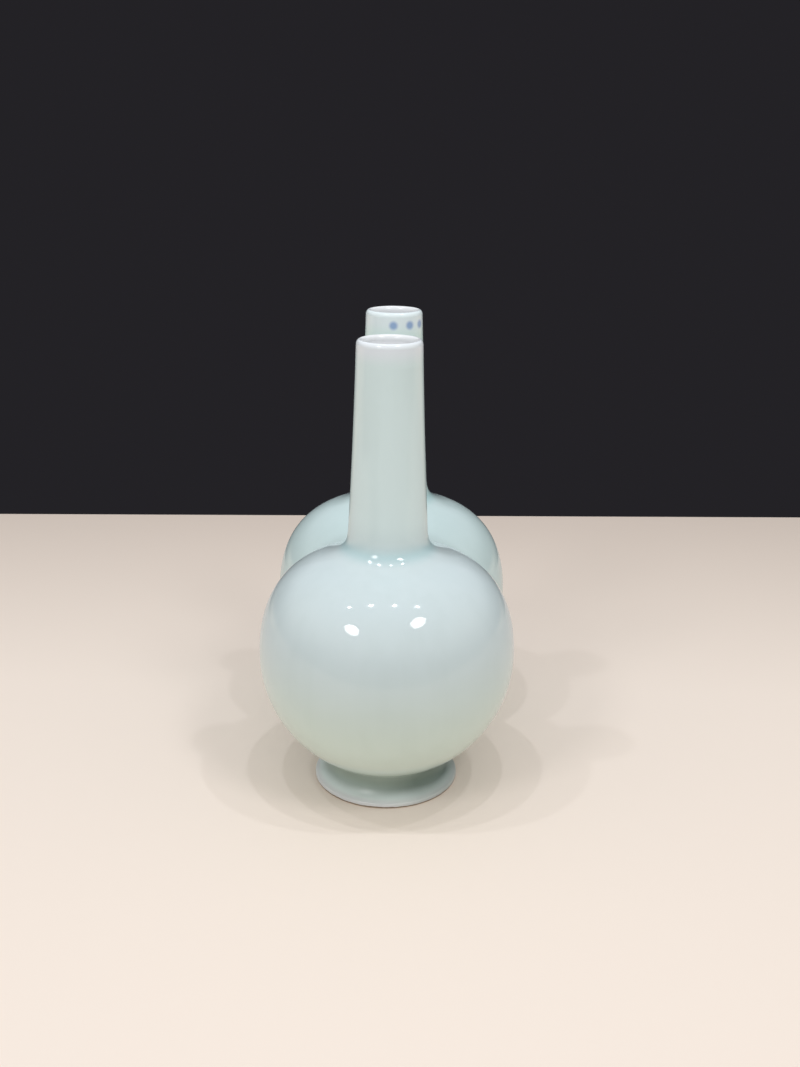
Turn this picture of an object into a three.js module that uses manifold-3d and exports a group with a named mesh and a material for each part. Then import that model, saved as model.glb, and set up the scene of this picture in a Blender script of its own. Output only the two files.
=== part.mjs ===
// Double vase: two globular porcelain bottles with tall necks, joined belly to belly and glazed celadon.
// Each bottle is four thrown pieces, a foot ring, a lower bowl, a shoulder dome and a neck, luted with slip.
// Millimetres, +Z up. The origin is on the table, midway between the bottles, which stand in a row along Y.
import * as THREE from "three";
import { mergeVertices } from "three/addons/utils/BufferGeometryUtils.js";
import Module from "manifold-3d";

// The pair: the bottles' axes are closer than two globe radii, so the globes are sliced where they meet
const AXIS_SPACING = 80;
const SLIP = 0.5;

// Globe, as [radius, height]: half an ellipse below the belly, and above it a fuller curve that ends in a
// cone under the neck. The wall is thickest at top and bottom.
// A bend is the point that a curve leans towards.
const GLOBE_RADIUS = 60;
const BELLY_Z = 65.75;
const BOWL_DEPTH = 59.7;
const SHOULDER_RISE = 19;
const CONE_BEND = [53.75, 103.6];
const CONE = [32, 111.55];
const BELLY_WALL = 3.6;
const FLOOR_WALL = 4.9;
const CONE_WALL = 4.5;

// Necks, as [radius, height]: a hollow curve at the root, a tube that narrows upwards and a rounded lip.
// They are thrown by hand, so the rear one is a little taller and slimmer.
const NECKS = {
  front: { tube: [18.12, 127.6], tubeBend: [15.92, 166], lip: [14.67, 209.8], top: 212.2 },
  rear: { tube: [17.65, 127.6], tubeBend: [15.5, 167], lip: [14.15, 211.4], top: 213.8 },
};
const ROOT_BENDS = { low: [20.2, 117], high: [18.7, 119.8] };
const LIP_WALL = 3;
const NECK_HOLE_RADIUS = 15.2;
const NECK_SEAT_RADIUS = 24;

// Foot ring, as [radius, height]: a low hollow flare with a rounded edge, standing on a flat bare rim
const FOOT = {
  rimInner: [30.6, 0],
  rimOuter: [34.05, 0],
  edgeBend: [34.9, 1.2],
  flare: [33.9, 2.4],
  flareBend: [28.3, 4.6],
  waistBend: [25.8, 11],
  insideBend: [25.5, 5.5],
};
const FOOT_SEAT_RADIUS = 27.8;
const FOOT_HOLE_RADIUS = 22;

// Waist bead: slip wiped into the groove round the joined globes, a hollow round that stops short of them
const BEAD_RADIUS = 4;
const BEAD_GAP = 0.3;
const BEAD_EDGE = THREE.MathUtils.degToRad(16);

// Facets: sides round an axis or a loop, steps along each kind of curve, and halvings that find a loop's ends
const SIDES = 48;
const GLOBE_STEPS = 6;
const CURVE_STEPS = 5;
const ROUND_STEPS = 4;
const BEND_STEPS = 3;
const LOOP_HALVINGS = 40;

const glaze = new THREE.MeshStandardMaterial({ color: 0xc3d6d5, roughness: 0.12, metalness: 0 });
const neckGlaze = new THREE.MeshStandardMaterial({ color: 0xcbd8d5, roughness: 0.14, metalness: 0 });
const footGlaze = new THREE.MeshStandardMaterial({ color: 0xafc4c3, roughness: 0.18, metalness: 0 });
const slip = new THREE.MeshStandardMaterial({ color: 0xe9e6de, roughness: 0.8, metalness: 0 });

const wasm = await Module();
wasm.setup();

const at = ([radius, z]) => new THREE.Vector2(radius, z);

const FLOOR_ANGLE = -Math.PI / 2;
const CONE_SLOPE = Math.atan2(CONE[1] - CONE_BEND[1], CONE_BEND[0] - CONE[0]);
const BELLY_LOW_Z = BELLY_Z - SLIP / 2;
const BELLY_HIGH_Z = BELLY_Z + SLIP / 2;

// The bowl's curve, from one angle below the belly to another.
const bowlCurve = (radius, depth, fromAngle, toAngle) =>
  new THREE.EllipseCurve(0, BELLY_Z, radius, depth, fromAngle, toAngle, toAngle < fromAngle);

// The shoulder's curve, from the belly up to the cone.
const shoulderCurve = (radius, rise, bend, cone) =>
  new THREE.CubicBezierCurve(at([radius, BELLY_Z]), at([radius, BELLY_Z + rise]), at(bend), at(cone));

// A globe's surface, from the floor up to the cone: the bowl's curve and then the shoulder's.
function globeOutline(radius, depth, rise, bend, cone) {
  const outline = new THREE.CurvePath();
  outline.add(bowlCurve(radius, depth, FLOOR_ANGLE, 0));
  outline.add(shoulderCurve(radius, rise, bend, cone));
  return outline;
}

// A point of the shoulder, moved inwards by the thickness of the cone's wall.
const withinCone = ([radius, z]) =>
  [radius - CONE_WALL * Math.sin(CONE_SLOPE), z - CONE_WALL * Math.cos(CONE_SLOPE)];

const INNER_RADIUS = GLOBE_RADIUS - BELLY_WALL;
const INNER_DEPTH = BOWL_DEPTH - FLOOR_WALL;
const INNER_RISE = SHOULDER_RISE * INNER_RADIUS / GLOBE_RADIUS;
const OUTSIDE = globeOutline(GLOBE_RADIUS, BOWL_DEPTH, SHOULDER_RISE, CONE_BEND, CONE);
const INSIDE = globeOutline(INNER_RADIUS, INNER_DEPTH, INNER_RISE, withinCone(CONE_BEND), withinCone(CONE));

// Seat of the foot ring under the bowl, from its outer edge inwards, or a surface that lies off it.
const FOOT_SEAT_ANGLES = [FOOT_SEAT_RADIUS, FOOT_HOLE_RADIUS]
  .map((radius) => -Math.acos(radius / GLOBE_RADIUS));
const footSeat = (offset = 0) =>
  bowlCurve(GLOBE_RADIUS + offset, BOWL_DEPTH + offset, ...FOOT_SEAT_ANGLES).getPoints(1);

// Seat of the neck on the cone, from its inner edge outwards, or a surface that lies above or below it.
const neckSeat = (above = 0) => [NECK_HOLE_RADIUS, NECK_SEAT_RADIUS].map((radius) =>
  at([radius, CONE[1] + above + (CONE[0] - radius) * Math.tan(CONE_SLOPE)]));

// A solid of revolution about Z. The outline runs anticlockwise in radius and height.
const turned = (outline) => new THREE.LatheGeometry(outline, SIDES).rotateX(Math.PI / 2);

// An outline that comes back to its first point.
const closed = (outline) => [...outline, outline[0].clone()];

// Foot ring: thrown apart and trimmed to the round underside of the bowl
function footRing() {
  const [seatOuter, seatInner] = footSeat(SLIP);
  const edge = new THREE.QuadraticBezierCurve(at(FOOT.rimOuter), at(FOOT.edgeBend), at(FOOT.flare));
  const flare = new THREE.CubicBezierCurve(at(FOOT.flare), at(FOOT.flareBend), at(FOOT.waistBend), seatOuter);
  const hollow = new THREE.QuadraticBezierCurve(seatInner, at(FOOT.insideBend), at(FOOT.rimInner));
  return turned(closed([
    ...edge.getPoints(ROUND_STEPS),
    ...flare.getPoints(CURVE_STEPS).slice(1),
    ...hollow.getPoints(BEND_STEPS),
  ]));
}

// Lower bowl: the bottom half of the globe, round inside and out
function lowerBowl() {
  const [seatOuter, seatInner] = FOOT_SEAT_ANGLES;
  const outline = [
    ...bowlCurve(GLOBE_RADIUS, BOWL_DEPTH, FLOOR_ANGLE, seatInner).getPoints(2),
    ...bowlCurve(GLOBE_RADIUS, BOWL_DEPTH, seatInner, seatOuter).getPoints(1).slice(1),
    ...bowlCurve(GLOBE_RADIUS, BOWL_DEPTH, seatOuter, 0).getPoints(GLOBE_STEPS).slice(1),
    ...bowlCurve(INNER_RADIUS, INNER_DEPTH, 0, FLOOR_ANGLE).getPoints(GLOBE_STEPS),
  ];
  for (const corner of outline) corner.y = Math.min(corner.y, BELLY_LOW_Z);
  outline[0].x = 0;
  outline.at(-1).x = 0;
  return turned(outline);
}

// Shoulder dome: the top half of the globe, with the hole that the neck stands over
function shoulderDome() {
  const [, outerShoulder] = OUTSIDE.curves;
  const [, innerShoulder] = INSIDE.curves;
  const [holeTop, seatOuter] = neckSeat();
  const [holeFoot] = neckSeat(-CONE_WALL / Math.cos(CONE_SLOPE));
  const outline = [
    ...outerShoulder.getPoints(GLOBE_STEPS),
    seatOuter, holeTop, holeFoot,
    ...innerShoulder.getPoints(GLOBE_STEPS - 1).reverse(),
  ];
  for (const corner of outline) corner.y = Math.max(corner.y, BELLY_HIGH_Z);
  return turned(closed(outline));
}

// Neck: trimmed at its root to sit on the cone, with a bore that narrows straight up to the lip
function neck(shape) {
  const seat = neckSeat(SLIP);
  const [lipRadius, lipZ] = shape.lip;
  const root = new THREE.CubicBezierCurve(seat[1], at(ROOT_BENDS.low), at(ROOT_BENDS.high), at(shape.tube));
  const tube = new THREE.QuadraticBezierCurve(at(shape.tube), at(shape.tubeBend), at(shape.lip));
  const lip = new THREE.EllipseCurve(
    lipRadius - LIP_WALL / 2, lipZ, LIP_WALL / 2, shape.top - lipZ, 0, Math.PI,
  );
  return turned(closed([
    ...seat,
    ...root.getPoints(CURVE_STEPS).slice(1),
    ...tube.getPoints(CURVE_STEPS).slice(1),
    ...lip.getPoints(ROUND_STEPS).slice(1),
  ]));
}

// Slip between a seat on the globe and the piece that is trimmed to it
const seatSeam = (seat, trimmed) => turned(closed([...seat, ...trimmed.reverse()]));

// Slip between the lower bowl and the shoulder dome
function bellySeam() {
  return turned(closed([
    at([INNER_RADIUS, BELLY_LOW_Z]), at([GLOBE_RADIUS, BELLY_LOW_Z]),
    at([GLOBE_RADIUS, BELLY_HIGH_Z]), at([INNER_RADIUS, BELLY_HIGH_Z]),
  ]));
}

// A point that lies off an outline, by a distance along its normal.
function offOutline(outline, share, distance) {
  const along = outline.getTangent(share);
  return outline.getPoint(share).add(new THREE.Vector2(along.y, -along.x).multiplyScalar(distance));
}

// The loop that a surface off a globe draws on an upright plane, which is the given distance from the axis.
// A turn of 0 is the loop's lowest point and half a turn its highest; X grows first.
function loopOnPlane(outline, distance, plane) {
  const [bowlLength, wholeLength] = outline.getCurveLengths();
  const shareOnPlane = (near, far) => {
    for (let halving = 0; halving < LOOP_HALVINGS; halving++) {
      const middle = (near + far) / 2;
      if (offOutline(outline, middle, distance).x < plane) near = middle;
      else far = middle;
    }
    return far;
  };
  const low = shareOnPlane(0, bowlLength / wholeLength);
  const high = shareOnPlane(1, bowlLength / wholeLength);
  return (turn) => {
    const share = low + (high - low) * (1 - Math.cos(turn)) / 2;
    const { x: radius, y: z } = offOutline(outline, share, distance);
    const x = Math.sign(Math.sin(turn)) * Math.sqrt(radius ** 2 - plane ** 2);
    return { share, radius, place: new THREE.Vector3(x, 0, z) };
  };
}

// Slip between the two globes: a flat web between their sliced rims, and the bead in the groove outside.
// The bead is hollow, as a ball would leave it that rolls round the groove and touches both globes.
function waistSeam() {
  const reach = AXIS_SPACING / 2;
  const webInner = loopOnPlane(INSIDE, 0, reach);
  const webOuter = loopOnPlane(OUTSIDE, BEAD_GAP, reach - SLIP / 2);
  const ball = loopOnPlane(OUTSIDE, BEAD_GAP + BEAD_RADIUS, reach);

  // The seam's section at one turn round the loop, from the front globe's side to the rear one's.
  const section = (turn) => {
    const { share, radius, place: centre } = ball(turn);
    const touched = offOutline(OUTSIDE, share, BEAD_GAP);
    const lean = touched.x / radius;
    const inwards = new THREE.Vector3(centre.x * lean, 0, touched.y).sub(centre).normalize();
    const half = Math.asin(reach * (1 - lean) / BEAD_RADIUS) - BEAD_EDGE;
    const bead = new THREE.EllipseCurve(0, 0, BEAD_RADIUS, BEAD_RADIUS, -half, half)
      .getPoints(2 * ROUND_STEPS)
      .map(({ x: depth, y }) => centre.clone().addScaledVector(inwards, depth).setY(y));
    const web = [webInner(turn).place, webOuter(turn).place];
    return [
      ...web.map((corner) => corner.clone().setY(-SLIP / 2)),
      ...bead,
      ...web.reverse().map((corner) => corner.clone().setY(SLIP / 2)),
    ];
  };

  const sections = Array.from({ length: SIDES }, (_, side) => section(2 * Math.PI * side / SIDES));
  const corners = sections[0].length;
  const index = [];
  for (let side = 0; side < SIDES; side++) {
    for (let corner = 0; corner < corners; corner++) {
      const next = (corner + 1) % corners;
      const here = side * corners;
      const beyond = (side + 1) % SIDES * corners;
      index.push(here + corner, beyond + next, beyond + corner);
      index.push(here + corner, here + next, beyond + next);
    }
  }
  return new THREE.BufferGeometry().setFromPoints(sections.flat()).setIndex(index);
}

function solidOf(geometry) {
  const bare = new THREE.BufferGeometry()
    .setAttribute("position", geometry.getAttribute("position"))
    .setIndex(geometry.index);
  const merged = mergeVertices(bare);
  return new wasm.Manifold(new wasm.Mesh({
    numProp: 3,
    vertProperties: merged.getAttribute("position").array,
    triVerts: merged.index.array,
  }));
}

function geometryOf(solid) {
  const { vertProperties, triVerts } = solid.getMesh();
  return new THREE.BufferGeometry()
    .setAttribute("position", new THREE.BufferAttribute(vertProperties, 3))
    .setIndex(new THREE.BufferAttribute(triVerts, 1));
}

// A globe's piece without the side that is sliced off for its partner, which stands towards +Y.
function sliced(geometry) {
  const face = AXIS_SPACING / 2 - SLIP / 2;
  const size = 4 * GLOBE_RADIUS;
  const side = new THREE.BoxGeometry(size, size, size).translate(0, face + size / 2, BELLY_Z);
  return geometryOf(solidOf(geometry).subtract(solidOf(side)));
}

const PIECES = [
  ["foot_ring", footRing(), footGlaze],
  ["foot_seam", seatSeam(footSeat(), footSeat(SLIP)), slip],
  ["lower_bowl", sliced(lowerBowl()), glaze],
  ["belly_seam", sliced(bellySeam()), slip],
  ["shoulder_dome", sliced(shoulderDome()), glaze],
  ["neck_seam", seatSeam(neckSeat(), neckSeat(SLIP)), slip],
];

// One bottle about its own axis, with its sliced side towards +Y
function bottle(name) {
  const group = new THREE.Group();
  for (const [piece, geometry, material] of [...PIECES, ["neck", neck(NECKS[name]), neckGlaze]]) {
    const mesh = new THREE.Mesh(geometry, material);
    mesh.name = `${name}_${piece}`;
    group.add(mesh);
  }
  return group;
}

const front = bottle("front");
front.position.y = -AXIS_SPACING / 2;

const rear = bottle("rear");
rear.position.y = AXIS_SPACING / 2;
rear.rotation.z = Math.PI;

const waist = new THREE.Mesh(waistSeam(), slip);
waist.name = "waist_seam";

const doubleVase = new THREE.Group();
doubleVase.add(front, rear, waist);

export default doubleVase;
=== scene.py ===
# Double vase in celadon porcelain: two globular bottles with tall necks, joined belly to belly.
# Metres, +Z up. The origin is on the table, midway between the bottles, which stand in a row along Y.
import math

import bmesh
import bpy
from mathutils import Matrix, Vector


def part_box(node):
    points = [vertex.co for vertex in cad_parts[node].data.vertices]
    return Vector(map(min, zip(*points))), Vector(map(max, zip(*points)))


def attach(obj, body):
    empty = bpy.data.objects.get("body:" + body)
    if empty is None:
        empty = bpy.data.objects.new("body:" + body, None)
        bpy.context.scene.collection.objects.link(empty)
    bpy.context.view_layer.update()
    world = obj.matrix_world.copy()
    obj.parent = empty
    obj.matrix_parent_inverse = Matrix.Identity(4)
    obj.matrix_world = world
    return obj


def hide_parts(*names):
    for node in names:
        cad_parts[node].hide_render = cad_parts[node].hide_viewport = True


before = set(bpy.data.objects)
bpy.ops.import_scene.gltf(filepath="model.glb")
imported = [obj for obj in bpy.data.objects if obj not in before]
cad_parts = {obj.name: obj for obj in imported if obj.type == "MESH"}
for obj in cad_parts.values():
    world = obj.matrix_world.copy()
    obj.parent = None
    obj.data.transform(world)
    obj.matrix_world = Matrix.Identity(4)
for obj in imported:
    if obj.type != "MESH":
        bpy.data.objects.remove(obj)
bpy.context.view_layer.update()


# Camera
# It stands half a metre in front of the pair and looks down along the bottles' row, with a slight tilt.
# Its place and turn were fitted to the outlines of both bottles, and its lens to the frame's long side.
CAMERA_PLACE = (0.0133, -0.5362, 0.2940)
CAMERA_PITCH = -0.3311
CAMERA_YAW = -0.0157
CAMERA_ROLL = 0.0126
SENSOR_MM = 36
FRAME_HEIGHT_PIXELS = 1067
FOCAL_PIXELS = 1147.5
NEAREST_SEEN = 0.01

camera = bpy.data.objects.new("camera", bpy.data.cameras.new("camera"))
camera.data.sensor_fit = "AUTO"
camera.data.sensor_width = SENSOR_MM
camera.data.lens = SENSOR_MM * FOCAL_PIXELS / FRAME_HEIGHT_PIXELS
camera.data.clip_start = NEAREST_SEEN
camera.matrix_world = (
    Matrix.Translation(CAMERA_PLACE)
    @ Matrix.Rotation(-CAMERA_YAW, 4, "Z")
    @ Matrix.Rotation(math.pi / 2 + CAMERA_PITCH, 4, "X")
    @ Matrix.Rotation(CAMERA_ROLL, 4, "Z")
)
bpy.context.scene.collection.objects.link(camera)
bpy.context.scene.camera = camera
bpy.context.scene.view_settings.view_transform = "Standard"


# Table
# A plain cream table top with softly rounded edges, painted in a dull lacquer, a little turned to the pair.
# It is only the stage: the vase stands on it at height zero. Its cream is painted darker towards the back, as
# painted shade where the light falls off.
TABLE_LEFT_X = -0.80
TABLE_RIGHT_X = 1.05
TABLE_FRONT_Y = -0.39
TABLE_BACK_Y = 0.3655
TABLE_THICKNESS = 0.03
TABLE_EDGE_ROUND = 0.002
TABLE_TURN = math.radians(2.4)
TABLE_CREAM = (0.775, 0.69, 0.63, 1)
# Painted shade: the back of the table is painted darker, for the light falling off there.
TABLE_FAR_SHADED_CREAM = (0.61, 0.53, 0.48, 1)
FAR_SHADE_SPAN_Y = (0.05, TABLE_BACK_Y)
LACQUER_ROUGHNESS = 0.55
LACQUER_SHINE = 0.3


def shader_node(tree, kind, inputs=None, **options):
    """Adds a node, sets its options, and sets its inputs or links them to other nodes' outputs."""
    made = tree.nodes.new(kind)
    for option, value in options.items():
        setattr(made, option, value)
    for socket, value in (inputs or {}).items():
        if isinstance(value, bpy.types.NodeSocket):
            tree.links.new(value, made.inputs[socket])
        else:
            made.inputs[socket].default_value = value
    return made


def object_place(tree):
    """The place of a point on the piece."""
    return shader_node(tree, "ShaderNodeTexCoord").outputs["Object"]


def object_axes(tree):
    """The X, Y and Z of a point on the piece."""
    return shader_node(tree, "ShaderNodeSeparateXYZ", {"Vector": object_place(tree)}).outputs


def mottle(tree, place, scale, detail):
    """A cloudy pattern of values round one half."""
    cloudy = shader_node(tree, "ShaderNodeTexNoise", {"Vector": place, "Scale": scale, "Detail": detail})
    return cloudy.outputs["Fac"]


def bumps(tree, height, strength, distance, under=None):
    """The normal of a surface with a pattern of heights on it, laid over another normal if one is given."""
    inputs = {"Height": height, "Strength": strength, "Distance": distance}
    if under is not None:
        inputs["Normal"] = under
    return shader_node(tree, "ShaderNodeBump", inputs).outputs["Normal"]


def ramp(tree, value, span, at_start=0, at_end=1, shape="SMOOTHSTEP"):
    """A step from at_start to at_end while a value crosses a span."""
    start, end = span
    step = shader_node(
        tree,
        "ShaderNodeMapRange",
        {"Value": value, "From Min": start, "From Max": end, "To Min": at_start, "To Max": at_end},
        interpolation_type=shape,
    )
    return step.outputs["Result"]


def blend(tree, factor, first, second, how="MIX"):
    """A mix of two colours."""
    mix = shader_node(
        tree, "ShaderNodeMix", {"Factor": factor, "A": first, "B": second}, data_type="RGBA", blend_type=how
    )
    return mix.outputs["Result"]


def new_material(name):
    """A node material, its tree and its Principled shader."""
    material = bpy.data.materials.new(name)
    material.use_nodes = True
    tree = material.node_tree
    return material, tree, tree.nodes["Principled BSDF"]


def place_mesh(shape, name, *materials):
    """Turns a finished bmesh into an object at the origin."""
    mesh = bpy.data.meshes.new(name)
    shape.to_mesh(mesh)
    shape.free()
    for material in materials:
        mesh.materials.append(material)
    placed = bpy.data.objects.new(name, mesh)
    bpy.context.scene.collection.objects.link(placed)
    return placed


table_lacquer_and_shade, tree, lacquer_shader = new_material("table_lacquer_and_shade")
grain = mottle(tree, object_place(tree), scale=900, detail=2)
# Painted shade: the cream darkens towards the back of the table.
far = ramp(tree, object_axes(tree)["Y"], FAR_SHADE_SPAN_Y, shape="LINEAR")
cream = blend(tree, far, TABLE_CREAM, TABLE_FAR_SHADED_CREAM)
tree.links.new(cream, lacquer_shader.inputs["Base Color"])
tree.links.new(bumps(tree, grain, strength=0.05, distance=0.0002), lacquer_shader.inputs["Normal"])
lacquer_shader.inputs["Roughness"].default_value = LACQUER_ROUGHNESS
lacquer_shader.inputs["Specular IOR Level"].default_value = LACQUER_SHINE

top = bmesh.new()
bmesh.ops.create_cube(top, size=1)
table_size = (TABLE_RIGHT_X - TABLE_LEFT_X, TABLE_BACK_Y - TABLE_FRONT_Y, TABLE_THICKNESS)
bmesh.ops.scale(top, vec=table_size, verts=top.verts)
table_centre = (
    (TABLE_RIGHT_X + TABLE_LEFT_X) / 2, (TABLE_BACK_Y + TABLE_FRONT_Y) / 2, -TABLE_THICKNESS / 2
)
bmesh.ops.translate(top, vec=table_centre, verts=top.verts)
bmesh.ops.rotate(top, cent=(0, 0, 0), matrix=Matrix.Rotation(TABLE_TURN, 3, "Z"), verts=top.verts)
bmesh.ops.bevel(
    top, geom=top.edges[:], offset=TABLE_EDGE_ROUND, segments=4, profile=0.5, affect="EDGES", material=-1
)
table = place_mesh(top, "table", table_lacquer_and_shade)


# Light
# A row of four small lamps overhead, whose shadows fall to both sides, and two soft boxes at the front.
# The room is bright in front, above eye level, and is hung dark at the back, up to a pale ceiling.
LAMP_HEIGHT = 1.348
OVERHEAD_LAMPS = ((0.457, -0.188), (0.107, -0.206), (-0.239, -0.209), (-0.594, -0.222))
OVERHEAD_POWER = 1.46
OVERHEAD_SIZE = (0.030, 0.030)
OVERHEAD_WHITE = (0.96, 0.99, 1.05)
SOFT_BOXES = (
    {"at": (-0.545, -0.750, 0.870), "power": 2.3, "roll": -0.6},
    {"at": (0.490, -0.580, 1.020), "power": 2.5, "roll": 0.6},
)
SOFT_BOX_SIZE = (0.32, 0.21)
SOFT_BOX_WHITE = (1.0, 0.985, 0.98)
LAMP_AIM = Vector((0, -0.02, 0.09))
ROOM_FRONT_LOW = (0.30, 0.29, 0.265, 1)
ROOM_FLOOR = (0.90, 0.78, 0.64, 1)
ROOM_FRONT = (0.86, 0.84, 0.765, 1)
ROOM_CEILING = (0.62, 0.60, 0.57, 1)
ROOM_BACK_HIGH = (0.56, 0.58, 0.60, 1)
ROOM_BACK = (0.017, 0.016, 0.019, 1)
FRONT_LIGHTENS_Z = (0.0, 0.5)
BACK_LIGHTENS_Z = (0.13, 0.45)
BACK_TO_FRONT_Y = (0.70, 0.10)
FLOOR_LIGHTENS_Y = (0.92, 0.55)
FLOOR_DARKENS_Y = (0.20, -0.10)
FLOOR_STARTS_Z = (0.0, -0.10)
CEILING_STARTS_Z = (0.60, 0.95)


def add_lamp(name, at, power, size, white, roll=0):
    """A round or oval area lamp that points at the vase."""
    lamp = bpy.data.lights.new(name, "AREA")
    lamp.shape = "ELLIPSE"
    lamp.size, lamp.size_y = size
    lamp.energy = power
    lamp.color = white
    hung = bpy.data.objects.new(name, lamp)
    aimed = (LAMP_AIM - Vector(at)).to_track_quat("-Z", "Y").to_matrix().to_4x4()
    hung.matrix_world = Matrix.Translation(at) @ aimed @ Matrix.Rotation(roll, 4, "Z")
    bpy.context.scene.collection.objects.link(hung)


for number, (x, y) in enumerate(OVERHEAD_LAMPS):
    add_lamp(f"overhead_lamp_{number}", (x, y, LAMP_HEIGHT), OVERHEAD_POWER, OVERHEAD_SIZE, OVERHEAD_WHITE)
for number, soft_box in enumerate(SOFT_BOXES):
    add_lamp(f"soft_box_{number}", size=SOFT_BOX_SIZE, white=SOFT_BOX_WHITE, **soft_box)

room = bpy.data.worlds.new("room")
room.use_nodes = True
bpy.context.scene.world = room
tree = room.node_tree
direction = shader_node(tree, "ShaderNodeTexCoord").outputs["Generated"]
towards = shader_node(tree, "ShaderNodeSeparateXYZ", {"Vector": direction}).outputs
front_wall = blend(tree, ramp(tree, towards["Z"], FRONT_LIGHTENS_Z), ROOM_FRONT_LOW, ROOM_FRONT)
back_wall = blend(tree, ramp(tree, towards["Z"], BACK_LIGHTENS_Z), ROOM_BACK, ROOM_BACK_HIGH)
walls = blend(tree, ramp(tree, towards["Y"], BACK_TO_FRONT_Y), back_wall, front_wall)
back_floor = blend(tree, ramp(tree, towards["Y"], FLOOR_LIGHTENS_Y), ROOM_BACK, ROOM_FLOOR)
floor = blend(tree, ramp(tree, towards["Y"], FLOOR_DARKENS_Y), back_floor, ROOM_FRONT_LOW)
walls_and_floor = blend(tree, ramp(tree, towards["Z"], FLOOR_STARTS_Z), walls, floor)
shell = blend(tree, ramp(tree, towards["Z"], CEILING_STARTS_Z), walls_and_floor, ROOM_CEILING)
seen = shader_node(tree, "ShaderNodeLightPath").outputs["Is Camera Ray"]
tree.links.new(blend(tree, seen, shell, ROOM_BACK), tree.nodes["Background"].inputs["Color"])


# Foot rings
# A low hollow flare, thrown apart and luted under the bowl, with a rounded edge. Glaze runs thick into its
# waist and thin over the edge, and is wiped off the flat rim that stands on the table, which fired brown.
# The waist is also painted darker as shade under the globe, more so on the right side.
SIDES = 192
CURVE_STEPS = 28
CREASE = math.radians(32)
MERGE_DISTANCE = 1e-7


def eased(count):
    """Shares from 0 to 1 that lie closer together at both ends, so that pieces meet with even shading."""
    return [0.5 - 0.5 * math.cos(math.pi * step / count) for step in range(count + 1)]


def bezier(handles, share):
    """The point at a share of a Bezier curve, and the direction of the curve there."""
    level = handles
    while len(level) > 2:
        level = [a.lerp(b, share) for a, b in zip(level, level[1:])]
    return level[0].lerp(level[1], share), level[1] - level[0]


def bend(*handles):
    """Points along a Bezier curve through handles given as (radius, height)."""
    return [bezier(handles, share)[0] for share in eased(CURVE_STEPS)]


def shade_smooth(shape):
    """Smooth faces, with the creases kept sharp."""
    for face in shape.faces:
        face.smooth = True
    for edge in shape.edges:
        edge.smooth = edge.calc_face_angle(0) < CREASE


def turned(outline, axis_y, closed=True):
    """Spins an outline of (radius, height) points about a bottle's upright axis."""
    shape = bmesh.new()
    corners = [shape.verts.new((radius, axis_y, z)) for radius, z in outline]
    edges = [shape.edges.new(pair) for pair in zip(corners, corners[1:])]
    if closed:
        edges.append(shape.edges.new((corners[-1], corners[0])))
    bmesh.ops.spin(
        shape, geom=corners + edges, cent=(0, axis_y, 0), axis=(0, 0, 1),
        angle=2 * math.pi, steps=SIDES, use_merge=True,
    )
    bmesh.ops.remove_doubles(shape, verts=shape.verts, dist=MERGE_DISTANCE)
    bmesh.ops.recalc_face_normals(shape, faces=shape.faces)
    return shape


bowl_low, bowl_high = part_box("front_lower_bowl")
dome_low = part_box("front_shoulder_dome")[0]
GLOBE_RADIUS = bowl_high.x
BELLY_Z = (bowl_high.z + dome_low.z) / 2
BOWL_DEPTH = BELLY_Z - bowl_low.z
SHOULDER_RISE = 0.019
CONE_BEND = Vector((0.05375, 0.1036))
CONE = Vector((0.032, 0.11155))
CONE_SLOPE = (CONE - CONE_BEND).normalized()
AXIS_Y = {"front": bowl_low.y + GLOBE_RADIUS}
AXIS_Y["rear"] = -AXIS_Y["front"]


def globe_skin(radius, depth, rise, cone_bend, cone):
    """A globe's surface as a function of a share: -1 is the floor, 0 the belly and 1 the cone."""
    shoulder = [Vector((radius, BELLY_Z)), Vector((radius, BELLY_Z + rise)), cone_bend, cone]

    def skin(share, off=0):
        if share < 0:
            angle = share * math.pi / 2
            point = Vector((radius * math.cos(angle), BELLY_Z + depth * math.sin(angle)))
            along = Vector((-radius * math.sin(angle), depth * math.cos(angle)))
        else:
            point, along = bezier(shoulder, share)
        return point + off * Vector((along.y, -along.x)).normalized()

    return skin


outside = globe_skin(GLOBE_RADIUS, BOWL_DEPTH, SHOULDER_RISE, CONE_BEND, CONE)


# Glaze: bluish on the shoulders, greener below the belly and paler up the necks, with teal round their roots.
# It gathers at the feet and in the groove between the globes, and runs off the lips. It clouds and waves.
# From the globes' undersides down into the foot waists the darkening is partly painted shade, deeper on the
# right.
SHOULDER_GLAZE = (0.533, 0.625, 0.662, 1)
BELLY_GLAZE = (0.61, 0.72, 0.66, 1)
NECK_GLAZE = (0.64, 0.76, 0.78, 1)
# Pooled glaze, made darker still to serve as painted shade in the foot's waist.
POOLED_GLAZE_AND_SHADE = (0.172, 0.237, 0.207, 1)
THIN_GLAZE = (0.745, 0.785, 0.86, 1)
ROOT_GLAZE = (0.385, 0.555, 0.60, 1)
REAR_CAST = (0.96, 1.02, 1.0, 1)
GLAZE_IOR = 1.5
GREENER_Z = (0.088, 0.035)
PALER_Z = (0.112, 0.135)
ROOT_STARTS_Z = (0.1145, 0.1195)
ROOT_ENDS_Z = (0.1165, 0.1245)
REAR_STARTS_Y = (-0.01, 0.01)
FOOT_POOL_AND_SHADE_Z = (0.020, 0.009)
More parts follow.
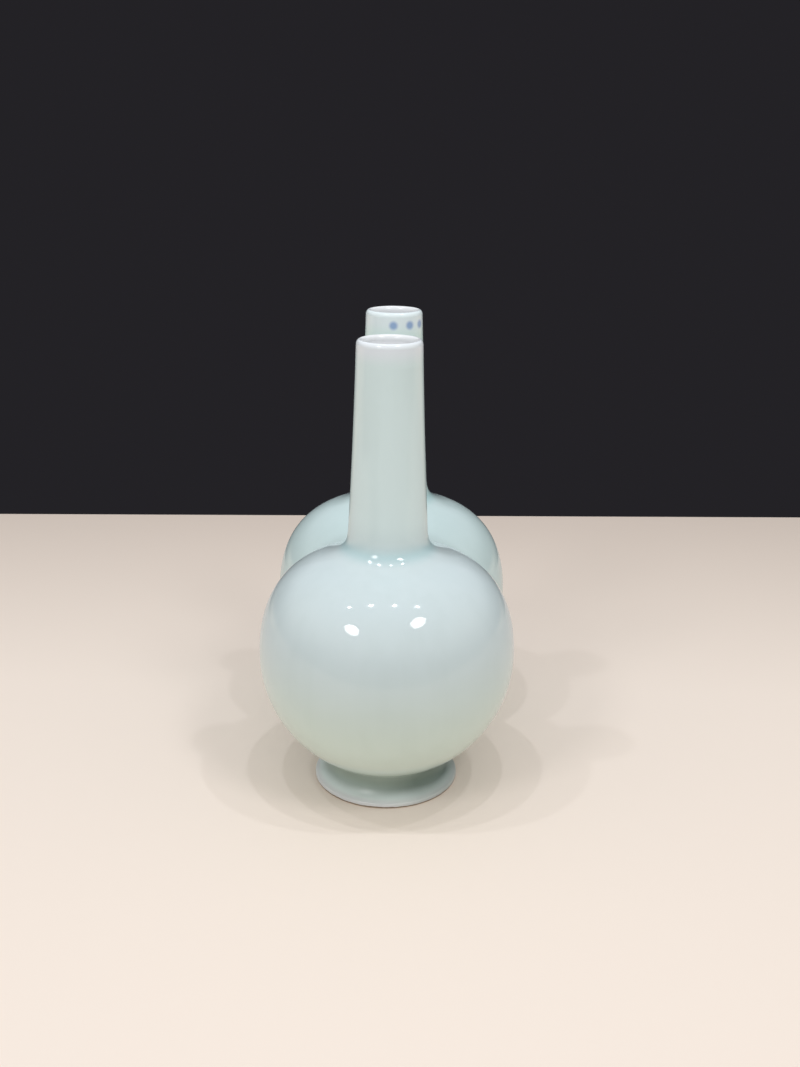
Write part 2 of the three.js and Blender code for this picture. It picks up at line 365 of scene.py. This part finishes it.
# Painted shade: the foot's dark waist is made deeper on the right, where less light reaches under the globe.
FOOT_SHADE_DEEPENS_X = (-0.002, 0.030)
FOOT_POOL_AND_SHADE_LEFT = 0.72
FOOT_POOL_AND_SHADE_RIGHT = 1.24
GROOVE_GATHERS_Y = (0.0075, 0.001)
GROOVE_DEPTH = 0.18
MOTTLE_SPAN = (0.2, 0.8)
CLOUD_DEPTH = 0.03
RUN_DEPTH = 0.02
RUN_STRETCH = (1, 1, 0.06)
GLOSS_LOW = 0.04
GLOSS_HIGH = 0.08


def add_up(tree, *values):
    """The sum of several values."""
    total = values[0]
    for value in values[1:]:
        total = shader_node(tree, "ShaderNodeMath", {0: total, 1: value}).outputs[0]
    return total


# The glaze group's colour carries the painted shade near the feet.
glaze_and_shade_coat = bpy.data.node_groups.new("glaze_and_shade_coat", "ShaderNodeTree")
glaze_and_shade_coat.interface.new_socket("Extra Depth", in_out="INPUT", socket_type="NodeSocketFloat")
glaze_and_shade_coat.interface.new_socket("Color", in_out="OUTPUT", socket_type="NodeSocketColor")
glaze_and_shade_coat.interface.new_socket("Roughness", in_out="OUTPUT", socket_type="NodeSocketFloat")
glaze_and_shade_coat.interface.new_socket("Normal", in_out="OUTPUT", socket_type="NodeSocketVector")
entry = glaze_and_shade_coat.nodes.new("NodeGroupInput")
leave = glaze_and_shade_coat.nodes.new("NodeGroupOutput")
place = object_place(glaze_and_shade_coat)
axes = object_axes(glaze_and_shade_coat)

# Painted shade: deeper on the right side of the feet, lighter on the left.
foot_shade_by_side = ramp(glaze_and_shade_coat, axes["X"], FOOT_SHADE_DEEPENS_X, FOOT_POOL_AND_SHADE_LEFT, FOOT_POOL_AND_SHADE_RIGHT)
# Pooled glaze and painted shade: darker from the globe's underside down into the foot's waist.
pool_and_shade_at_foot = ramp(glaze_and_shade_coat, axes["Z"], FOOT_POOL_AND_SHADE_Z, 0, foot_shade_by_side)
apart = shader_node(glaze_and_shade_coat, "ShaderNodeMath", {0: axes["Y"]}, operation="ABSOLUTE").outputs[0]
in_groove = ramp(glaze_and_shade_coat, apart, GROOVE_GATHERS_Y, 0, GROOVE_DEPTH)
cloud = mottle(glaze_and_shade_coat, place, scale=34, detail=3)
clouding = ramp(glaze_and_shade_coat, cloud, MOTTLE_SPAN, -CLOUD_DEPTH, CLOUD_DEPTH)
drawn_out = shader_node(glaze_and_shade_coat, "ShaderNodeMapping", {"Vector": place, "Scale": RUN_STRETCH})
runs = mottle(glaze_and_shade_coat, drawn_out.outputs["Vector"], scale=150, detail=2)
running = ramp(glaze_and_shade_coat, runs, MOTTLE_SPAN, -RUN_DEPTH, RUN_DEPTH)
depth = add_up(glaze_and_shade_coat, entry.outputs["Extra Depth"], pool_and_shade_at_foot, in_groove, clouding, running)

above_root = ramp(glaze_and_shade_coat, axes["Z"], ROOT_ENDS_Z, 1, 0)
tint = SHOULDER_GLAZE
for share, colour in (
    (ramp(glaze_and_shade_coat, axes["Z"], GREENER_Z), BELLY_GLAZE),
    (ramp(glaze_and_shade_coat, axes["Z"], PALER_Z), NECK_GLAZE),
    (ramp(glaze_and_shade_coat, axes["Z"], ROOT_STARTS_Z, 0, above_root), ROOT_GLAZE),
    (ramp(glaze_and_shade_coat, depth, (0, 1), shape="LINEAR"), POOLED_GLAZE_AND_SHADE),
    (ramp(glaze_and_shade_coat, depth, (0, -1), shape="LINEAR"), THIN_GLAZE),
):
    tint = blend(glaze_and_shade_coat, share, tint, colour)
rear_bottle = ramp(glaze_and_shade_coat, axes["Y"], REAR_STARTS_Y)
tint = blend(glaze_and_shade_coat, rear_bottle, tint, REAR_CAST, how="MULTIPLY")

swell = mottle(glaze_and_shade_coat, place, scale=55, detail=1)
swelling = bumps(glaze_and_shade_coat, swell, strength=0.06, distance=0.0004)
peel = mottle(glaze_and_shade_coat, place, scale=700, detail=1)
peeling = bumps(glaze_and_shade_coat, peel, strength=0.08, distance=0.00005, under=swelling)
gloss = ramp(glaze_and_shade_coat, cloud, MOTTLE_SPAN, GLOSS_LOW, GLOSS_HIGH)
glaze_and_shade_coat.links.new(tint, leave.inputs["Color"])
glaze_and_shade_coat.links.new(gloss, leave.inputs["Roughness"])
glaze_and_shade_coat.links.new(peeling, leave.inputs["Normal"])


def coat(tree, shader, extra_depth=None):
    """Places the glaze group, with its painted shade near the feet, links it to a shader and gives its
    colour.
    """
    glaze = shader_node(tree, "ShaderNodeGroup", node_tree=glaze_and_shade_coat)
    if extra_depth is not None:
        tree.links.new(extra_depth, glaze.inputs["Extra Depth"])
    tree.links.new(glaze.outputs["Color"], shader.inputs["Base Color"])
    tree.links.new(glaze.outputs["Roughness"], shader.inputs["Roughness"])
    tree.links.new(glaze.outputs["Normal"], shader.inputs["Normal"])
    shader.inputs["IOR"].default_value = GLAZE_IOR
    return glaze.outputs["Color"]


FOOT_EDGE = Vector((0.0339, 0.0024))
FOOT_EDGE_BEND = Vector((0.0349, 0.0012))
RIM_OUTER = Vector((0.03405, 0))
RIM_INNER = Vector((0.0306, 0))
FLARE_BEND = Vector((0.0283, 0.0046))
FOOT_WAIST_BEND = Vector((0.0258, 0.0117))
HOLLOW_BEND = Vector((0.0255, 0.0055))
FOOT_SEAT_RADIUS = 0.0286
FOOT_HOLE_RADIUS = 0.022
SEAT_STEPS = 6
SEAT_DEPTH = 0.0003
FLARE_THINS_Z = (0.0023, 0.0072)
FLARE_THINNED = -0.82
FLARE_CAST = (0.955, 0.935, 1.03, 1)
FLARE_CAST_Z = (0.010, 0.004)
RIM_CAST = (1.0, 0.91, 0.92, 1)
RIM_CAST_Z = (0.0042, 0.0020)
BARE_CLAY = (0.42, 0.35, 0.27, 1)
BARE_CLAY_Z = (0.0008, 0.0010)
BARE_CLAY_ROUGHNESS = 0.85
BURNT_CLAY = (0.20, 0.145, 0.095, 1)
BURNT_CLAY_Z = (0.0002, 0.0006)
GLAZE_LINE_WANDERS = 0.0002
FOOT_GLAZE_ROUGHNESS = 0.32

foot_glaze_and_shade, tree, foot_shader = new_material("foot_glaze_and_shade")
axes = object_axes(tree)
foot_colour_and_shade = coat(tree, foot_shader, ramp(tree, axes["Z"], FLARE_THINS_Z, FLARE_THINNED, 0))
on_flare = ramp(tree, axes["Z"], FLARE_CAST_Z)
foot_colour_and_shade = blend(tree, on_flare, foot_colour_and_shade, FLARE_CAST, how="MULTIPLY")
on_rim = ramp(tree, axes["Z"], RIM_CAST_Z)
foot_colour_and_shade = blend(tree, on_rim, foot_colour_and_shade, RIM_CAST, how="MULTIPLY")
wander = mottle(tree, object_place(tree), scale=300, detail=3)
glaze_line = ramp(tree, wander, MOTTLE_SPAN, -GLAZE_LINE_WANDERS, GLAZE_LINE_WANDERS)
height = add_up(tree, axes["Z"], glaze_line)
bare = ramp(tree, height, BARE_CLAY_Z, 1, 0)
clay = blend(tree, ramp(tree, height, BURNT_CLAY_Z), BARE_CLAY, BURNT_CLAY)
dullness = shader_node(
    tree,
    "ShaderNodeMix",
    {"Factor": bare, "A": FOOT_GLAZE_ROUGHNESS, "B": BARE_CLAY_ROUGHNESS},
    data_type="FLOAT",
)
tree.links.new(blend(tree, bare, foot_colour_and_shade, clay), foot_shader.inputs["Base Color"])
tree.links.new(dullness.outputs["Result"], foot_shader.inputs["Roughness"])


def below_belly(radius):
    """The share at which the globe's underside has this radius."""
    return -math.acos(radius / GLOBE_RADIUS) / (math.pi / 2)


foot_top = outside(below_belly(FOOT_SEAT_RADIUS))
seat_width = FOOT_SEAT_RADIUS - FOOT_HOLE_RADIUS
foot_seat = [
    outside(below_belly(FOOT_SEAT_RADIUS - seat_width * step / SEAT_STEPS), -SEAT_DEPTH)
    for step in range(SEAT_STEPS + 1)
]
foot_outline = [
    *bend(RIM_OUTER, FOOT_EDGE_BEND, FOOT_EDGE),
    *bend(FOOT_EDGE, FLARE_BEND, FOOT_WAIST_BEND, foot_top)[1:],
    *foot_seat,
    *bend(foot_seat[-1], HOLLOW_BEND, RIM_INNER)[1:],
]
for bottle, axis_y in AXIS_Y.items():
    shape = turned(foot_outline, axis_y)
    shade_smooth(shape)
    foot = place_mesh(shape, f"{bottle}_foot", foot_glaze_and_shade)
    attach(foot, "root")
    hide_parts(f"{bottle}_foot_ring", f"{bottle}_foot_seam")


# Bowls and domes
# The globe's two halves, thrown apart and luted at the belly. The side towards the partner is sliced off.
# The bowl is trimmed where the foot is luted on, and the dome, round its hole, where the neck is.
BELLY_WALL = 0.0036
FLOOR_WALL = 0.0049
CONE_WALL = 0.0045
GLOBE_STEPS = 72
INSIDE_STEPS = 32
NECK_HOLE_RADIUS = 0.0152
SEAM_HALF = (dome_low.z - bowl_high.z) / 2

globe_glaze, tree, globe_shader = new_material("globe_glaze")
coat(tree, globe_shader)


def sliced(shape, axis_y):
    """Takes off the side of a globe's piece that its partner is joined to, and closes the cut."""
    side = math.copysign(1, axis_y)
    cut = bmesh.ops.bisect_plane(
        shape,
        geom=[*shape.verts, *shape.edges, *shape.faces],
        plane_co=(0, side * SEAM_HALF, 0),
        plane_no=(0, -side, 0),
        clear_outer=True,
    )
    rims = [part for part in cut["geom_cut"] if isinstance(part, bmesh.types.BMEdge)]
    bmesh.ops.triangle_fill(shape, edges=rims, use_beauty=True)
    bmesh.ops.recalc_face_normals(shape, faces=shape.faces)
    return shape


inwards = CONE_WALL * Vector((-CONE_SLOPE.y, CONE_SLOPE.x))
inner_radius = GLOBE_RADIUS - BELLY_WALL
inner_rise = SHOULDER_RISE * inner_radius / GLOBE_RADIUS
inside = globe_skin(
    inner_radius, BOWL_DEPTH - FLOOR_WALL, inner_rise, CONE_BEND + inwards, CONE + inwards
)


def cone_point(radius, off=0):
    """A point of the cone under the neck, or one that lies off it."""
    return CONE + CONE_SLOPE * (CONE.x - radius) / -CONE_SLOPE.x + off * Vector((CONE_SLOPE.y, -CONE_SLOPE.x))


trimmed = below_belly(FOOT_SEAT_RADIUS)
bowl_outline = [
    *[outside(trimmed - (1 + trimmed) * (1 - share), -SEAT_DEPTH) for share in eased(INSIDE_STEPS)],
    *[outside(trimmed * (1 - share)) for share in eased(GLOBE_STEPS)],
    *[inside(-share) for share in eased(INSIDE_STEPS)],
]
dome_outline = [
    *[outside(share) for share in eased(GLOBE_STEPS)],
    cone_point(CONE.x, -SEAT_DEPTH),
    cone_point(NECK_HOLE_RADIUS, -SEAT_DEPTH),
    cone_point(NECK_HOLE_RADIUS, -CONE_WALL),
    *[inside(1 - share) for share in eased(INSIDE_STEPS)],
]
for bottle, axis_y in AXIS_Y.items():
    shape = sliced(turned(bowl_outline, axis_y, closed=False), axis_y)
    shade_smooth(shape)
    bowl = place_mesh(shape, f"{bottle}_bowl", globe_glaze)
    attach(bowl, "root")
    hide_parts(f"{bottle}_lower_bowl", f"{bottle}_belly_seam")
    shape = sliced(turned(dome_outline, axis_y), axis_y)
    shade_smooth(shape)
    dome = place_mesh(shape, f"{bottle}_dome", globe_glaze)
    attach(dome, "root")
    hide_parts(f"{bottle}_shoulder_dome", f"{bottle}_neck_seam")


# Waist
# Slip between the two sliced globes, wiped round the groove with a fingertip before glazing. It is hollow,
# as a ball would leave it that rolls round the groove and touches both globes.
BALL_RADIUS = 0.004
BEAD_STEPS = 20
LOOP_HALVINGS = 40

waist_glaze, tree, waist_shader = new_material("waist_glaze")
coat(tree, waist_shader)

reach = AXIS_Y["rear"]


def loop_on_plane(skin, off, plane):
    """The loop that a surface off a globe draws on an upright plane at a distance from the globe's axis."""

    def share_on_plane(near, far):
        for _ in range(LOOP_HALVINGS):
            middle = (near + far) / 2
            if skin(middle, off).x < plane:
                near = middle
            else:
                far = middle
        return far

    low = share_on_plane(-1, 0)
    high = share_on_plane(1, 0)

    def loop(turn):
        share = low + (high - low) * (1 - math.cos(turn)) / 2
        radius, z = skin(share, off)
        return share, radius, Vector((math.copysign(math.sqrt(radius**2 - plane**2), math.sin(turn)), 0, z))

    return loop


web_inner = loop_on_plane(inside, 0, reach)
web_outer = loop_on_plane(outside, 0, reach - SEAM_HALF)
ball = loop_on_plane(outside, BALL_RADIUS, reach)


def waist_section(turn):
    """The seam's section at a turn round the groove, from the front globe's side to the rear one's."""
    share, radius, centre = ball(turn)
    touched = outside(share)
    lean = touched.x / radius
    groove = (Vector((centre.x * lean, 0, touched.y)) - centre).normalized()
    half = math.asin(reach * (1 - lean) / BALL_RADIUS)
    bead = []
    for step in eased(BEAD_STEPS):
        angle = half * (2 * step - 1)
        bead.append(centre + BALL_RADIUS * (math.cos(angle) * groove + math.sin(angle) * Vector((0, 1, 0))))
    half_web = Vector((0, SEAM_HALF, 0))
    inner = web_inner(turn)[2]
    outer = web_outer(turn)[2]
    return [inner - half_web, outer - half_web, *bead, outer + half_web, inner + half_web]


shape = bmesh.new()
corner_number = shape.verts.layers.int.new("corner_number")
middle = Vector((0, 0, BELLY_Z))
corners = [shape.verts.new(corner) for corner in waist_section(0)]
for number, corner in enumerate(corners):
    corner[corner_number] = number
edges = [shape.edges.new(pair) for pair in zip(corners, corners[1:] + corners[:1])]
bmesh.ops.spin(
    shape, geom=corners + edges, cent=middle, axis=(0, 1, 0), angle=2 * math.pi, steps=SIDES, use_merge=True
)
sections = [waist_section(2 * math.pi * side / SIDES) for side in range(SIDES)]
for vert in shape.verts:
    turn = math.atan2(vert.co.x, middle.z - vert.co.z)
    side = round(turn * SIDES / (2 * math.pi)) % SIDES
    vert.co = sections[side][vert[corner_number]]
bmesh.ops.recalc_face_normals(shape, faces=shape.faces)
shade_smooth(shape)
waist = place_mesh(shape, "waist", waist_glaze)
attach(waist, "root")
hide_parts("waist_seam")


# Necks
# A tall tube that narrows upwards, trimmed at its root to sit on the dome and smoothed into it, with a
# rounded lip. Glaze runs off the lip, which shows white, and the bore has only a thin coat. Deep in the bore
# the glaze is painted nearly white, as painted light in place of light shining through the thin walls.
# Three cobalt dots are brushed on under the rear lip.
TUBES = {
    "front": (Vector((0.01812, 0.1276)), Vector((0.01592, 0.166)), Vector((0.01467, 0.2098))),
    "rear": (Vector((0.01765, 0.1276)), Vector((0.0155, 0.167)), Vector((0.01415, 0.2114))),
}
ROOT_REACH = 0.0135
ROOT_RISE = 0.0086
LIP_WALL = 0.003
LIP_STEPS = 24
BORE_STEPS = 12
LIP_THINS_Z = (0.2013, 0.2098)
LIP_THINNED = -0.82
# Painted light: nearly white, standing in for light that shines through the thin walls into the bore.
BORE_GLAZE_AND_PAINTED_LIGHT = (0.92, 0.94, 0.98, 1)
MOUTH_GLAZE = (0.73, 0.76, 0.80, 1)
MOUTH_GLAZE_Z = (0.2072, 0.2105)
BORE_ROUGHNESS = 0.15
COBALT = (0.10, 0.23, 0.54, 1)
COBALT_STRENGTH = 0.7
DOT_TURNS = (0, math.radians(34), math.radians(63))
DOT_Z = 0.2078
DOT_RADIUS = 0.003
DOT_FADES = (0.3 * DOT_RADIUS, DOT_RADIUS)

neck_glaze, tree, neck_shader = new_material("neck_glaze")
off_lip = ramp(tree, object_axes(tree)["Z"], LIP_THINS_Z, 0, LIP_THINNED)
painted = coat(tree, neck_shader, off_lip)
place = object_place(tree)
rear_lip_radius = TUBES["rear"][-1].x
for turn in DOT_TURNS:
    dot = (rear_lip_radius * math.sin(turn), AXIS_Y["rear"] - rear_lip_radius * math.cos(turn), DOT_Z)
    away = shader_node(tree, "ShaderNodeVectorMath", {0: place, 1: dot}, operation="DISTANCE")
    brushed = ramp(tree, away.outputs["Value"], DOT_FADES, COBALT_STRENGTH, 0)
    painted = blend(tree, brushed, painted, COBALT)
tree.links.new(painted, neck_shader.inputs["Base Color"])

# Painted light in the bore: the deep part is painted nearly white; the mouth's top keeps the glaze's own
# colour.
bore_glaze_and_painted_light, tree, bore_shader = new_material("bore_glaze_and_painted_light")
in_mouth = ramp(tree, object_axes(tree)["Z"], MOUTH_GLAZE_Z)
tree.links.new(blend(tree, in_mouth, BORE_GLAZE_AND_PAINTED_LIGHT, MOUTH_GLAZE), bore_shader.inputs["Base Color"])
bore_shader.inputs["Roughness"].default_value = BORE_ROUGHNESS


def neck_outline(tube, tube_bend, lip, top):
    """A neck's outline, from the hole outwards along its seat, up to the lip and down the bore."""
    lip_centre = lip - Vector((LIP_WALL / 2, 0))
    lip_curve = [
        lip_centre + Vector((LIP_WALL / 2 * math.cos(angle), (top - lip.y) * math.sin(angle)))
        for angle in [math.pi * share for share in eased(LIP_STEPS)]
    ]
    down_tube = (tube - tube_bend).normalized()
    bore_foot = cone_point(NECK_HOLE_RADIUS, -SEAT_DEPTH)
    return [
        bore_foot,
        cone_point(CONE.x, -SEAT_DEPTH),
        *bend(CONE, CONE + ROOT_REACH * CONE_SLOPE, tube + ROOT_RISE * down_tube, tube),
        *bend(tube, tube_bend, lip)[1:],
        *lip_curve[1:],
        *[lip_curve[-1].lerp(bore_foot, n / BORE_STEPS) for n in range(1, BORE_STEPS)],
    ]


for bottle, axis_y in AXIS_Y.items():
    neck_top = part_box(f"{bottle}_neck")[1].z
    shape = turned(neck_outline(*TUBES[bottle], neck_top), axis_y)
    shade_smooth(shape)
    for face in shape.faces:
        centre = face.calc_center_median()
        outwards = Vector((centre.x, centre.y - axis_y, 0))
        face.material_index = 1 if outwards.dot(face.normal) < 0 and centre.z > CONE.y else 0
    neck = place_mesh(shape, f"{bottle}_throat", neck_glaze, bore_glaze_and_painted_light)
    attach(neck, "root")
    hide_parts(f"{bottle}_neck")
